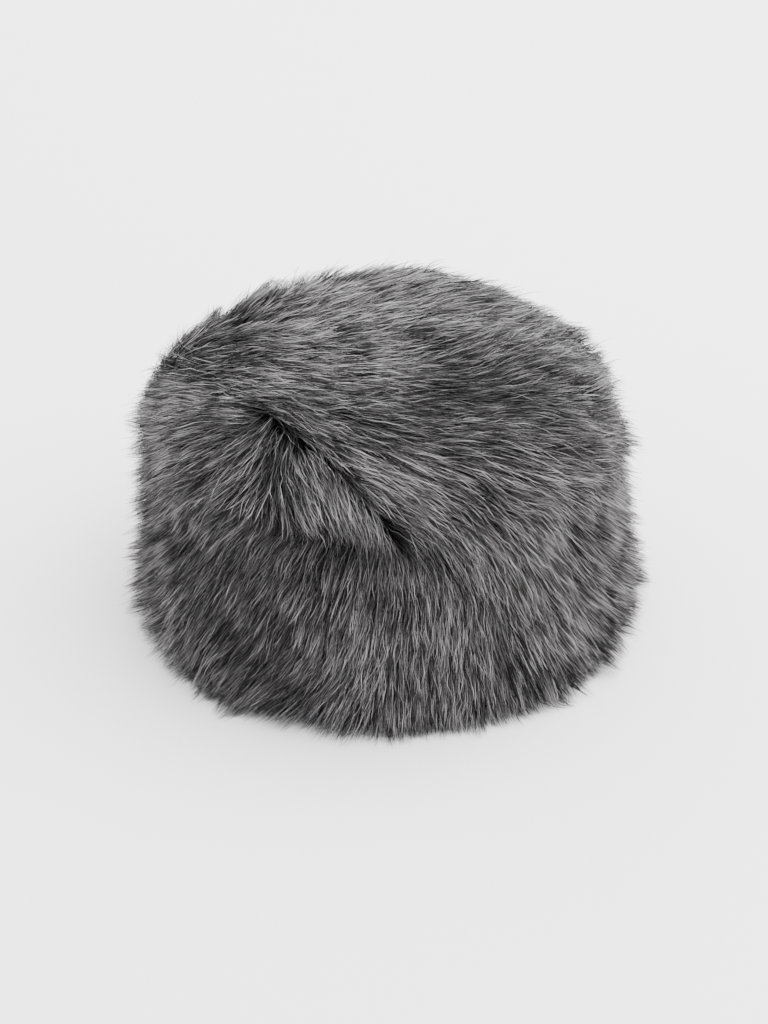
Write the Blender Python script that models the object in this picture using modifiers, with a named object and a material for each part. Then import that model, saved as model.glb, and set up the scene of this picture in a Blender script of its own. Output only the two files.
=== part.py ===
"""A round hat of long fur: a hide wall and a hide crown under two coats of overlapping fur locks.

Metres, +Z up. The origin is the middle of the rim, in the plane that the hat stands on.
The front of the hat faces -Y.
"""
import random
from collections import namedtuple
from math import cos, hypot, pi, sin, tau

import bmesh
import bpy
from mathutils import Vector

# Head and hide
HEAD_CIRCUMFERENCE = 0.580
HIDE_THICKNESS = 0.003
WALL_HEIGHT = 0.102
CROWN_HIDE_RISE = 0.005
SEAM_GAP = 0.0003
HIDE_STEPS = 96
CROWN_HIDE_RINGS = 5

# Coat of fur on the side: its depth over the hide, and how it draws in towards the shoulder
SIDE_FUR_DEPTH = 0.0297
SHOULDER_DRAW_IN = 0.005
STRAIGHT_SIDE_HEIGHT = 0.040
HEM_CLEARANCE = 0.0010
HEM_BACKING_HEIGHT = 0.006

# Coat of fur on the crown: a dome whose section is a superellipse, squarer than a circle.
# The dome begins, and its hem hangs, a little below the top of the wall.
SHOULDER_DROP = 0.023
CROWN_FUR_DEPTH = 0.033
SHOULDER_EXPONENT = 2.57
CROWN_HEM_DROP = 0.004
CROWN_HEM_THICKNESS = 0.009
WHORL_PLACE = (-0.056, -0.050)
PATH_SAMPLES = 40

# Locks: pointed tufts in rows, each row lapping over the roots of the next
LOCKS_AROUND = 60
LOCK_RELIEF = 0.0075
LOCK_FLARE = 0.0050
LENGTH_SCATTER = 0.70
STAND_SCATTER = 0.60
LEAN_SCATTER = 0.40
SIDE_SEED = 7
CROWN_SEED = 19

# How far a lock lies under the coat's outer form, in shares of its row's relief
RIDGE_BELLY_DEPTH = 0.45
NOTCH_BELLY_DEPTH = 0.75
NOTCH_DEPTH = 0.60
RIDGE_TUCK_DEPTH = 1.00
NOTCH_TUCK_DEPTH = 1.05
WHORL_PIT_DEPTH = 0.50

# How far the tucked ring lies behind a tip, and past a notch, in shares of the row's point
RIDGE_TUCK_BACK = 0.40
NOTCH_TUCK_PAST = 0.30

# tip: where a row's tips lie, as a share of the way from the coat's root line to its hem.
# point: how far a tip runs past that line, and a notch between tips falls short of it, same share.
# relief and flare: shares of LOCK_RELIEF and LOCK_FLARE.
LockRow = namedtuple("LockRow", "tip point relief flare")
SIDE_ROWS = (
    LockRow(tip=0.24, point=0.055, relief=0.90, flare=0.45),
    LockRow(tip=0.48, point=0.060, relief=1.00, flare=0.80),
    LockRow(tip=0.72, point=0.060, relief=1.00, flare=1.00),
    LockRow(tip=0.95, point=0.050, relief=1.00, flare=0.80),
)
CROWN_ROWS = (
    LockRow(tip=0.20, point=0.035, relief=0.35, flare=0.10),
    LockRow(tip=0.38, point=0.040, relief=0.55, flare=0.15),
    LockRow(tip=0.57, point=0.045, relief=0.70, flare=0.20),
    LockRow(tip=0.77, point=0.045, relief=0.85, flare=0.30),
    LockRow(tip=0.96, point=0.040, relief=1.00, flare=0.40),
)
SIDE_ROOT_SHARE = 0.08
CROWN_ROOT_SHARE = 0.05

# Colours and finish
FUR_COLOUR = (0.122, 0.118, 0.120, 1.0)
FUR_ROUGHNESS = 0.90
HIDE_COLOUR = (0.200, 0.180, 0.165, 1.0)
HIDE_ROUGHNESS = 0.85

# Sizes that follow
HEAD_RADIUS = HEAD_CIRCUMFERENCE / tau
HIDE_RADIUS = HEAD_RADIUS + HIDE_THICKNESS
SIDE_RADIUS = HIDE_RADIUS + SIDE_FUR_DEPTH
SHOULDER_RADIUS = SIDE_RADIUS - SHOULDER_DRAW_IN
SHOULDER_HEIGHT = WALL_HEIGHT - SHOULDER_DROP
CROWN_HEM_HEIGHT = WALL_HEIGHT - CROWN_HEM_DROP
CROWN_HIDE_BASE = WALL_HEIGHT + SEAM_GAP
COAT_TOP = CROWN_HIDE_BASE + HIDE_THICKNESS + CROWN_HIDE_RISE + CROWN_FUR_DEPTH
DOME_HEIGHT = COAT_TOP - SHOULDER_HEIGHT
COLUMNS = 2 * LOCKS_AROUND


def clear_scene():
    for item in list(bpy.data.objects):
        bpy.data.objects.remove(item, do_unlink=True)


def surface_material(name, colour, roughness):
    material = bpy.data.materials.new(name)
    material.use_nodes = True
    shader = material.node_tree.nodes["Principled BSDF"]
    shader.inputs["Base Color"].default_value = colour
    shader.inputs["Roughness"].default_value = roughness
    shader.inputs["Metallic"].default_value = 0.0
    return material


def add_part(name, mesh, collection, material):
    part = bpy.data.objects.new(name, mesh)
    collection.objects.link(part)
    mesh.materials.append(material)
    return part


# Hide: two turned pieces

def turned(name, profile, closed, collection, material):
    """Turn a profile of (radius, height) points, which runs down its outer side, round the Z axis."""
    last = len(profile) - 1
    edges = [(i, i + 1) for i in range(last)]
    if closed:
        edges.append((last, 0))
    mesh = bpy.data.meshes.new(name)
    mesh.from_pydata([(radius, 0.0, height) for radius, height in profile], edges, [])
    part = add_part(name, mesh, collection, material)
    screw = part.modifiers.new("turn", "SCREW")
    screw.steps = HIDE_STEPS
    screw.render_steps = HIDE_STEPS
    screw.use_merge_vertices = True
    screw.merge_threshold = 0.00001
    return part


def add_band_hide(collection):
    profile = [
        (HIDE_RADIUS, WALL_HEIGHT),
        (HIDE_RADIUS, 0.0),
        (HEAD_RADIUS, 0.0),
        (HEAD_RADIUS, WALL_HEIGHT),
    ]
    material = surface_material("band_hide", HIDE_COLOUR, HIDE_ROUGHNESS)
    return turned("band_hide", profile, True, collection, material)


def crown_hide_rise(radius):
    """How far the crown hide stands above its own edge at a distance from the axis."""
    return CROWN_HIDE_RISE * (1.0 - min(radius / HIDE_RADIUS, 1.0) ** 2)


def add_crown_hide(collection):
    radii = [HIDE_RADIUS * ring / CROWN_HIDE_RINGS for ring in range(CROWN_HIDE_RINGS + 1)]
    lower = [(radius, CROWN_HIDE_BASE + crown_hide_rise(radius)) for radius in radii]
    upper = [(radius, height + HIDE_THICKNESS) for radius, height in lower]
    material = surface_material("crown_hide", HIDE_COLOUR, HIDE_ROUGHNESS)
    return turned("crown_hide", upper + lower[::-1], False, collection, material)


# Outer form of the coat

def side_radius(height):
    """Radius of the side coat: straight at the rim, drawn in towards the shoulder."""
    share = (height - STRAIGHT_SIDE_HEIGHT) / (SHOULDER_HEIGHT - STRAIGHT_SIDE_HEIGHT)
    share = min(max(share, 0.0), 1.0)
    straight = SIDE_RADIUS - SHOULDER_DRAW_IN * share ** 2
    if height <= SHOULDER_HEIGHT:
        return straight
    rise = min((height - SHOULDER_HEIGHT) / DOME_HEIGHT, 1.0)
    return SHOULDER_RADIUS * (1.0 - rise ** SHOULDER_EXPONENT) ** (1.0 / SHOULDER_EXPONENT)


def dome_height(radius):
    """Height of the crown coat at a distance from the axis."""
    share = min(radius / SHOULDER_RADIUS, 1.0)
    rise = (1.0 - share ** SHOULDER_EXPONENT) ** (1.0 / SHOULDER_EXPONENT)
    return SHOULDER_HEIGHT + DOME_HEIGHT * rise


def dome_normal(point):
    """Unit vector that stands square off the dome at a point of it."""
    radius = max(hypot(point.x, point.y), 1e-9)
    power = SHOULDER_EXPONENT - 1.0
    outward = (radius / SHOULDER_RADIUS) ** power / SHOULDER_RADIUS
    upward = (max(point.z - SHOULDER_HEIGHT, 0.0) / DOME_HEIGHT) ** power / DOME_HEIGHT
    return Vector((outward * point.x / radius, outward * point.y / radius, upward)).normalized()


NECK_RADIUS = side_radius(CROWN_HEM_HEIGHT) - CROWN_HEM_THICKNESS


def polar(radius, angle, height):
    return Vector((radius * cos(angle), radius * sin(angle), height))


def side_point(angle, share, offset):
    """Point of the side coat, a share of the way down it, offset outwards from its outer form."""
    height = WALL_HEIGHT + share * (HEM_CLEARANCE - WALL_HEIGHT)
    return polar(side_radius(height) + offset, angle, height)


def crown_path(angle):
    """The way over the dome from the whorl to the crown's hem: its points, and the length to each."""
    whorl = Vector((*WHORL_PLACE, 0.0))
    end = polar(side_radius(CROWN_HEM_HEIGHT), angle, 0.0)
    points = []
    for sample in range(PATH_SAMPLES + 1):
        plan = whorl.lerp(end, sin(0.5 * pi * sample / PATH_SAMPLES))
        points.append(Vector((plan.x, plan.y, dome_height(hypot(plan.x, plan.y)))))
    lengths = [0.0]
    for start, stop in zip(points, points[1:]):
        lengths.append(lengths[-1] + (stop - start).length)
    return points, lengths


def crown_point(angle, share, offset):
    """Point of the crown coat, a share of the way from the whorl to its hem, offset off the dome."""
    points, lengths = crown_path(angle)
    wanted = min(share, 1.0) * lengths[-1]
    after = 1
    while after < PATH_SAMPLES and lengths[after] < wanted:
        after += 1
    part = (wanted - lengths[after - 1]) / (lengths[after] - lengths[after - 1])
    point = points[after - 1].lerp(points[after], part)
    return point + dome_normal(point) * offset


# Locks

def lock_rings(coat_point, rows, root_share, seed, even_locks):
    """Rings of points that give a coat its rows of pointed locks, from the root line to the last tips.

    Each row has a ring along its bellies, one along its tips and one tucked in under them. Every
    second column is the ridge of a lock, the next is the notch between two, and the rows are
    staggered. The locks of even_locks stand straight and in full, and the others fall short.
    """
    scatter = random.Random(seed)
    column_angle = tau / COLUMNS
    rings = []
    above = root_share
    for number, row in enumerate(rows):
        relief = LOCK_RELIEF * row.relief
        flare = LOCK_FLARE * row.flare
        notch_share = row.tip - row.point
        middle = 0.5 * (above + notch_share)
        belly = []
        tips = []
        tucked = []
        for column in range(COLUMNS):
            angle = column * column_angle
            is_ridge = column % 2 == number % 2
            if is_ridge:
                length = 1.0 - LENGTH_SCATTER * scatter.random()
                stand = 1.0 - STAND_SCATTER * scatter.random()
                lean = LEAN_SCATTER * scatter.uniform(-1.0, 1.0) * column_angle
                if column in even_locks:
                    length, stand, lean = 1.0, 1.0, 0.0
                tip_share = row.tip + row.point * length
                tuck_share = tip_share - RIDGE_TUCK_BACK * row.point
                belly.append(coat_point(angle, middle, -RIDGE_BELLY_DEPTH * relief))
                tips.append(coat_point(angle + lean, tip_share, flare * stand))
                tucked.append(coat_point(angle, tuck_share, -RIDGE_TUCK_DEPTH * relief))
            else:
                tuck_share = notch_share + NOTCH_TUCK_PAST * row.point
                belly.append(coat_point(angle, middle, -NOTCH_BELLY_DEPTH * relief))
                tips.append(coat_point(angle, notch_share, -NOTCH_DEPTH * relief))
                tucked.append(coat_point(angle, tuck_share, -NOTCH_TUCK_DEPTH * relief))
        rings += [belly, tips, tucked]
        above = row.tip + row.point
    return rings


def circle(radius, height):
    return [polar(radius, tau * column / COLUMNS, height) for column in range(COLUMNS)]


def loft(name, rings, poles):
    """Skin a stack of equal rings, closed round into a tube, or ended by a fan at each of two poles."""
    skin = bmesh.new()
    loops = [[skin.verts.new(point) for point in ring] for ring in rings]
    pairs = list(zip(loops, loops[1:]))
    if not poles:
        pairs.append((loops[-1], loops[0]))
    for upper, lower in pairs:
        for here in range(COLUMNS):
            after = (here + 1) % COLUMNS
            skin.faces.new((upper[here], lower[here], lower[after], upper[after]))
    if poles:
        first = skin.verts.new(poles[0])
        last = skin.verts.new(poles[1])
        for here in range(COLUMNS):
            after = (here + 1) % COLUMNS
            skin.faces.new((first, loops[0][here], loops[0][after]))
            skin.faces.new((last, loops[-1][after], loops[-1][here]))
    bmesh.ops.triangulate(skin, faces=skin.faces[:], quad_method="SHORT_EDGE")
    mesh = bpy.data.meshes.new(name)
    skin.to_mesh(mesh)
    skin.free()
    mesh.shade_smooth()
    mesh.set_sharp_from_angle(angle=pi / 5)
    return mesh


def add_band_fur(collection):
    """Side coat: a tube round the hide wall, whose top is hidden under the crown coat's hem."""
    inner_radius = HIDE_RADIUS + SEAM_GAP
    top_height = WALL_HEIGHT - SEAM_GAP
    axis_locks = {quarter * COLUMNS // 4 for quarter in range(4)}
    rings = [circle(inner_radius, top_height), circle(NECK_RADIUS, top_height)]
    rings += lock_rings(side_point, SIDE_ROWS, SIDE_ROOT_SHARE, SIDE_SEED, axis_locks)
    rings.append(circle(inner_radius, HEM_BACKING_HEIGHT))
    material = surface_material("band_fur", FUR_COLOUR, FUR_ROUGHNESS)
    return add_part("band_fur", loft("band_fur", rings, None), collection, material)


def add_crown_fur(collection):
    """Crown coat: a dome of locks that radiate from the whorl, over a hollow that fits the hide."""
    angles = [tau * column / COLUMNS for column in range(COLUMNS)]
    rings = [[crown_point(angle, CROWN_ROOT_SHARE, 0.0) for angle in angles]]
    rings += lock_rings(crown_point, CROWN_ROWS, CROWN_ROOT_SHARE, CROWN_SEED, set())
    # The last tips turn straight in to the skirt, over the top of the side coat
    rings.pop()
    hollow_radius = HIDE_RADIUS + SEAM_GAP
    hollow_base = CROWN_HIDE_BASE + HIDE_THICKNESS + SEAM_GAP
    rings.append(circle(NECK_RADIUS + SEAM_GAP, WALL_HEIGHT))
    rings.append(circle(hollow_radius, WALL_HEIGHT))
    for ring in range(CROWN_HIDE_RINGS, 0, -1):
        radius = hollow_radius * ring / CROWN_HIDE_RINGS
        rings.append(circle(radius, hollow_base + crown_hide_rise(radius)))
    pit_height = dome_height(hypot(*WHORL_PLACE)) - WHORL_PIT_DEPTH * LOCK_RELIEF
    whorl_pit = Vector((*WHORL_PLACE, pit_height))
    under_middle = Vector((0.0, 0.0, hollow_base + CROWN_HIDE_RISE))
    mesh = loft("crown_fur", rings, (whorl_pit, under_middle))
    material = surface_material("crown_fur", FUR_COLOUR, FUR_ROUGHNESS)
    return add_part("crown_fur", mesh, collection, material)


def main():
    clear_scene()
    collection = bpy.data.collections.new("telpek_hat")
    bpy.context.scene.collection.children.link(collection)
    add_band_hide(collection)
    add_crown_hide(collection)
    add_band_fur(collection)
    add_crown_fur(collection)


main()
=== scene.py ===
"""Looks of the round fur hat: a coat of long fur, strand by strand, on the hide hat of the frame."""
from collections import namedtuple
from math import cos, pi, radians, sin

import bpy
import numpy as np
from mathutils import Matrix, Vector
from mathutils.kdtree import KDTree


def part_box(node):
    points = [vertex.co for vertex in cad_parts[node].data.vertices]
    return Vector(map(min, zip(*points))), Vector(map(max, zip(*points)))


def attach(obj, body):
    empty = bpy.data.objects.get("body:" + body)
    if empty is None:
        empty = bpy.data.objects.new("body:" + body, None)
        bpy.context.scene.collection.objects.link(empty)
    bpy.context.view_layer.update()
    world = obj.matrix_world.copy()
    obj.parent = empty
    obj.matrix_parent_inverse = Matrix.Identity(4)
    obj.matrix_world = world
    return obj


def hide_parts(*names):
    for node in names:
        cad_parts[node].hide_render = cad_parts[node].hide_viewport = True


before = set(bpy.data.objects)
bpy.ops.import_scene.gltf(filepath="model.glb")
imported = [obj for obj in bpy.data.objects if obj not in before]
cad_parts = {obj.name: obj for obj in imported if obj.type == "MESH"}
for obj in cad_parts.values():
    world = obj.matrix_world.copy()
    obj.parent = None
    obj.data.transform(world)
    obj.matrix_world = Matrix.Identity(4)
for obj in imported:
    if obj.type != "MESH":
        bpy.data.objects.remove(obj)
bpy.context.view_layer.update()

# Sizes that come from the frame, in metres
hide_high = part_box("band_hide")[1]
HIDE_RADIUS = hide_high.x
WALL_TOP = hide_high.z
CROWN_HIDE_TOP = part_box("crown_hide")[1].z
SIDE_TIP_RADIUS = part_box("band_fur")[1].x
COAT_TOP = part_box("crown_fur")[1].z

# Form that the fur lies along: a straight side, and a dome whose outline is a superellipse. The spreads
# are how far the tips of the solid locks lie outside it, and its area is summed over rows of points.
# No strand comes closer to the floor than the clearance, and the lowest roots are a little above it.
SIDE_TIP_SPREAD = 0.0065
CROWN_TIP_SPREAD = 0.0015
SIDE_RADIUS = SIDE_TIP_RADIUS - SIDE_TIP_SPREAD
SHOULDER_DRAW_IN = 0.005
SHOULDER_RADIUS = SIDE_RADIUS - SHOULDER_DRAW_IN
SHOULDER_DROP = 0.023
SHOULDER_HEIGHT = WALL_TOP - SHOULDER_DROP
STRAIGHT_SIDE_HEIGHT = 0.040
SHOULDER_EXPONENT = 2.57
DOME_HEIGHT = COAT_TOP - CROWN_TIP_SPREAD - SHOULDER_HEIGHT
FORM_WALL_ROWS = 60
FORM_DOME_ROWS = 120
FLOOR_CLEARANCE = 0.0006
HEM_ROOT_HEIGHT = 0.006

# The least length and radius that are divided by
TINY = 1e-12
SMALLEST_RADIUS = 1e-9

# The seam of crown and side, where it comes out at the outside of the fur. The side's fur begins a
# little further up, under the crown's. The crown's fur bends into the side's lie over the seam.
SEAM_RISE = 0.008
SEAM_HEIGHT = WALL_TOP + SEAM_RISE
SEAM_OVERLAP = 0.004
BEND_DROP = 0.003
BEND_HEIGHT = SEAM_HEIGHT - BEND_DROP
BEND_REACH = 0.005

# How far in from the form the dense underfur begins, how far it keeps off the hide, off the seam and off
# its own axis, where its dome ends as a share of the shoulder's radius, and its rows and sides
UNDERFUR_DEPTH = 0.011
UNDERFUR_HIDE_GAP = 0.0004
UNDERFUR_SEAM_GAP = 0.0005
UNDERFUR_AXIS_GAP = 0.002
UNDERFUR_DOME_EDGE = 0.985
UNDERFUR_WALL_ROWS = 10
UNDERFUR_DOME_ROWS = 12
UNDERFUR_SIDES = 120

# How far in from the form a root may lie
DEEPEST_ROOT = 0.027

# The line where the crown's fur parts, in plan: from the back left to the whorl at the front left, then
# down the ridge to the front. Mix is how far the furs of its two sides cross over it, and ridge is how
# much higher the fur to its right stands, both in metres.
Part = namedtuple("Part", "x y mix ridge")
PARTING = (
    Part(-0.112, 0.024, 0.0070, 0.0), Part(-0.087, -0.002, 0.0085, 0.0),
    Part(-0.076, -0.024, 0.0060, 0.0), Part(-0.060, -0.039, 0.0030, 0.0),
    Part(-0.055, -0.048, 0.0018, 0.0003), Part(-0.041, -0.064, 0.0014, 0.0007),
    Part(-0.029, -0.078, 0.0015, 0.0009), Part(-0.019, -0.091, 0.0015, 0.0009),
    Part(-0.005, -0.106, 0.0015, 0.0008), Part(0.006, -0.122, 0.0020, 0.0005),
)

# How far the ridge's rise reaches, and how much of it the fur to its left lies low
RIDGE_REACH = 0.006
RIDGE_LOW_SHARE = 0.5

# Close to the parting: its reach, the reach without tufts, the share of the crown's strands that it gets
# more of, how long they are there as a share, how much paler, the most that they cross over, as a multiple
# of the mix, and the share of the shoulder's radius that they keep inside
PARTING_REACH = 0.006
CALM_REACH = 3.0 * PARTING_REACH
PARTING_STRANDS = 0.14
PARTING_LENGTH = 0.88
PARTING_TONE = 0.05
MIX_LIMIT = 1.6
PARTING_EDGE = 0.97

# Lie of the fur on the crown, as if combed by hand out from the whorl: x and y in metres, and which way the
# tips point, in degrees from +X towards +Y. Softness is how far in metres a guide's own place is blurred.
LEFT_GUIDES = (
    # Left of the parting, level towards the left
    (-0.114, 0.009, 154), (-0.095, -0.022, 174), (-0.094, -0.037, 175), (-0.077, -0.041, 178),
    (-0.069, -0.049, 180), (-0.113, -0.014, 164), (-0.112, -0.030, 178), (-0.093, -0.051, -167),
    (-0.076, -0.051, 180), (-0.064, -0.057, -166), (-0.076, -0.062, -161), (-0.093, -0.062, -163),
    (-0.092, -0.071, -158), (-0.075, -0.083, -153), (-0.066, -0.074, -147), (-0.111, -0.040, -170),
    # The fan below the whorl
    (-0.060, -0.064, -132), (-0.056, -0.069, -118), (-0.052, -0.076, -104), (-0.046, -0.080, -92),
    (-0.059, -0.081, -120), (-0.046, -0.091, -93), (-0.056, -0.092, -114), (-0.066, -0.088, -138),
    (-0.040, -0.088, -73), (-0.034, -0.094, -70), (-0.038, -0.100, -80), (-0.028, -0.101, -71),
    (-0.027, -0.107, -85), (-0.043, -0.104, -102), (-0.059, -0.098, -118), (-0.075, -0.089, -142),
    (-0.018, -0.110, -84), (-0.011, -0.113, -79), (-0.027, -0.112, -96), (-0.007, -0.115, -85),
    (-0.043, -0.070, -78), (-0.034, -0.080, -66), (-0.053, -0.058, -100), (-0.116, 0.022, 140),
)
RIGHT_GUIDES = (
    # Right of the whorl and the ridge, out over the right shoulder
    (-0.060, -0.044, -27), (-0.051, -0.052, -31), (-0.039, -0.049, -28), (-0.025, -0.057, -24),
    (-0.039, -0.059, -35), (-0.030, -0.068, -35), (-0.043, -0.065, -46), (-0.040, -0.072, -52),
    (-0.032, -0.075, -46), (-0.020, -0.077, -41), (-0.034, -0.080, -53), (-0.029, -0.087, -57),
    (-0.020, -0.087, -51), (-0.020, -0.096, -59), (-0.016, -0.104, -62), (-0.009, -0.109, -66),
    (-0.004, -0.097, -32), (-0.004, -0.106, -50), (0.007, -0.099, -32), (0.007, -0.106, -46),
    (0.000, -0.113, -60), (0.009, -0.117, -69), (0.018, -0.105, -44), (0.018, -0.112, -51),
    (0.020, -0.096, -29), (0.020, -0.089, -24), (0.020, -0.077, -17), (-0.011, -0.063, -24),
    (-0.011, -0.077, -28), (-0.011, -0.090, -35), (0.036, -0.097, -28), (0.036, -0.110, -58),
    (0.052, -0.101, -42), (0.052, -0.083, -21), (0.052, -0.071, -8), (0.053, -0.056, -1),
    (0.053, -0.039, 9), (0.021, -0.062, -11), (0.021, -0.045, -4), (0.068, -0.087, -20),
    (0.080, -0.086, -31), (0.085, -0.068, -1), (0.086, -0.056, 4), (0.095, -0.068, -14),
    (0.103, -0.054, -3), (0.104, -0.036, 4), (0.086, -0.042, 5),
    # Above the parting, to the right and back
    (-0.067, -0.037, -27), (-0.078, -0.012, -30), (-0.091, 0.002, -24), (-0.080, 0.016, -14),
    (-0.097, 0.020, 14), (-0.062, 0.006, -24), (-0.045, -0.022, -26), (-0.012, -0.045, -11),
    (-0.012, -0.025, -14), (-0.029, -0.002, -11), (0.021, -0.025, 5), (0.021, -0.002, 6),
    (0.054, -0.019, 25), (0.055, 0.003, 18), (0.072, 0.011, 30), (0.088, -0.003, 28),
    (0.087, -0.024, 27), (0.103, -0.001, 34), (0.110, -0.015, 18), (0.090, 0.019, 38),
    (-0.046, 0.027, 14), (-0.029, 0.024, 4), (0.022, 0.023, 5), (0.039, 0.026, 22),
    (0.074, 0.044, 32), (-0.064, 0.035, 26), (-0.082, 0.046, 34),
)
BACK_GUIDES = (
    (-0.047, 0.066, 57), (-0.065, 0.063, 58), (-0.030, 0.056, 28), (-0.012, 0.053, 15),
    (0.005, 0.052, 17), (0.022, 0.054, 6), (-0.090, 0.055, 62), (-0.104, 0.037, 82),
    (-0.112, 0.034, 104), (-0.080, 0.078, 74), (-0.060, 0.090, 70), (0.000, 0.095, 48),
    (-0.030, 0.104, 62), (0.040, 0.100, 44), (0.060, 0.085, 42), (0.100, 0.040, 38),
)
GUIDE_SOFTNESS = 0.004

# Lie of the fur on the side, by the place round the hat in degrees: 0 is the front, 90 the right of the
# photograph. The leans are those of the tips away from straight down, at the seam, half way and at the hem.
# Fade is the share of the height at which the seam's lean has faded out. Hold is how far a strand keeps
# from bending down with the form under it, from 0 to 1. Blend is how far the furs of crown and side mix
# at the seam, and groove is how deep the fur sinks below the seam, in metres.
Lie = namedtuple("Lie", "place seam middle hem fade hold blend groove")
SIDE_LIE = (
    Lie(-180, -42, -6, 0, 0.35, 0.45, 0.010, 0.0), Lie(-150, -56, -12, -4, 0.30, 0.48, 0.010, 0.0),
    Lie(-122, -76, -18, -10, 0.25, 0.52, 0.010, 0.0), Lie(-106, -56, -12, -14, 0.30, 0.56, 0.009, 0.0),
    Lie(-92, -22, 0, -10, 0.60, 0.62, 0.006, 0.0), Lie(-68, -34, 8, 0, 0.75, 0.56, 0.004, 0.0),
    Lie(-50, -26, 4, 14, 0.80, 0.38, 0.003, 0.0012), Lie(-38, -28, -18, -28, 0.82, 0.24, 0.0015, 0.0025),
    Lie(-21, -38, -15, -48, 0.86, 0.16, 0.001, 0.0038), Lie(-8, -38, -11, -30, 0.86, 0.13, 0.001, 0.0042),
    Lie(-1, -20, -8, -12, 0.86, 0.13, 0.001, 0.0038), Lie(5, 18, -3, -2, 0.78, 0.13, 0.003, 0.0022),
    Lie(18, 34, -1, -12, 0.66, 0.13, 0.009, 0.0), Lie(34, 36, 8, 4, 0.66, 0.22, 0.010, 0.0),
    Lie(47, 38, 12, 6, 0.66, 0.34, 0.010, 0.0), Lie(60, 40, 20, -4, 0.66, 0.50, 0.009, 0.0),
    Lie(75, 40, 10, -8, 0.66, 0.60, 0.009, 0.0), Lie(90, 30, 8, -4, 0.66, 0.60, 0.009, 0.0),
    Lie(118, 14, 8, 3, 0.55, 0.50, 0.009, 0.0), Lie(145, -12, 2, 2, 0.45, 0.46, 0.010, 0.0),
    Lie(180, -42, -6, 0, 0.35, 0.45, 0.010, 0.0),
)

# Shares of the wall's height: where the seam's lean is reached, where the hem's lean begins to show, and
# how far below that it is reached
SEAM_LEAN_SHARE = 1.05
HEM_LEAN_SHARE = 0.50
HEM_LEAN_REACH = 0.32

# The groove under the fan: how far below the seam it is, its reach up and down, how far the crown's edge
# is drawn up and the side's roots are drawn down over it, and how much further the crown's fur takes to
# bend there. The last three are multiples of its depth.
GROOVE_BELOW_SEAM = 0.011
GROOVE_REACH = 0.007
GROOVE_DRAW_UP = 1.3
GROOVE_DRAW_DOWN = 1.5
GROOVE_BEND = 1.6

# Spots on the coat, with a reach and an amount that is full at the middle
Spot = namedtuple("Spot", "x y z reach amount")

# Places where the fur stands further out than the form, in metres
BULGES = (
    Spot(-0.104, 0.016, 0.115, 0.030, 0.0062),
    Spot(0.098, -0.070, 0.026, 0.030, 0.0048),
    Spot(0.030, 0.080, 0.128, 0.045, 0.0045),
    Spot(0.118, -0.020, 0.085, 0.045, 0.0012),
    Spot(-0.118, -0.015, 0.095, 0.025, 0.0006),
)

# How much further the fur stands out at the floor, and the height at which that has faded out
HEM_FLARE = 0.0055
HEM_FLARE_HEIGHT = 0.040

# Places where the fur is longer and lies in clear locks, as if combed, by a share from 0 to 1, and how
# much longer it is, how much less its wisps swerve, and how much more they follow and draw to their locks
COMBED = (
    Spot(0.012, -0.085, 0.128, 0.032, 1.0),
    Spot(-0.040, -0.084, 0.125, 0.020, 0.8),
)
COMBED_LENGTH = 0.25
COMBED_CALM = 0.4
COMBED_FOLLOW = 0.6
COMBED_PULL = 0.9

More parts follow.
